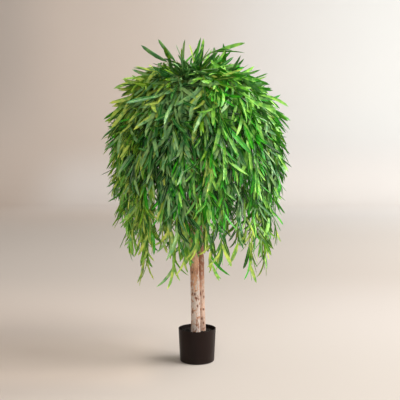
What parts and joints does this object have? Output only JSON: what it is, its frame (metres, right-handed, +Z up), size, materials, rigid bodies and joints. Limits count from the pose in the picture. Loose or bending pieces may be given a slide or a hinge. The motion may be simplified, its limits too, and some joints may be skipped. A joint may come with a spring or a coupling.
{
  "type": "potted artificial weeping willow",
  "caption": "Artificial weeping willow on two bare wooden poles in a small black nursery pot, with an umbrella crown of arching, hanging sprays of narrow leaves.",
  "frame": {"origin": "centre of the pot's flat underside, on the floor", "axes": "+Z up along the poles; the side shown in the picture faces -Y"},
  "size_m": [0.8326, 0.8892, 1.5],
  "materials": {
    "pot_plastic": "satin",
    "pot_fill": "rough",
    "bark": "rough natural wood",
    "leaves": "semi-gloss"
  },
  "bodies": {
    "root": {"pot": "pot_plastic", "pot_fill": "pot_fill", "trunk_main": "bark", "trunk_second": "bark", "bough_01": "bark", "bough_02": "bark", "bough_03": "bark", "bough_04": "bark", "bough_05": "bark", "bough_06": "bark", "bough_07": "bark", "bough_08": "bark", "bough_09": "bark", "bough_10": "bark", "bough_11": "bark", "bough_12": "bark", "crest": "leaves", "dome_01": "leaves", "dome_02": "leaves", "dome_03": "leaves", "dome_04": "leaves", "dome_05": "leaves", "dome_06": "leaves", "dome_07": "leaves", "dome_08": "leaves", "curtain_01": "leaves", "curtain_02": "leaves", "curtain_03": "leaves", "curtain_04": "leaves", "curtain_05": "leaves", "curtain_06": "leaves", "curtain_07": "leaves", "curtain_08": "leaves", "curtain_09": "leaves", "curtain_10": "leaves", "curtain_11": "leaves", "curtain_12": "leaves", "inner_01": "leaves", "inner_02": "leaves", "inner_03": "leaves", "inner_04": "leaves", "inner_05": "leaves", "inner_06": "leaves"}
  },
  "joints": []
}
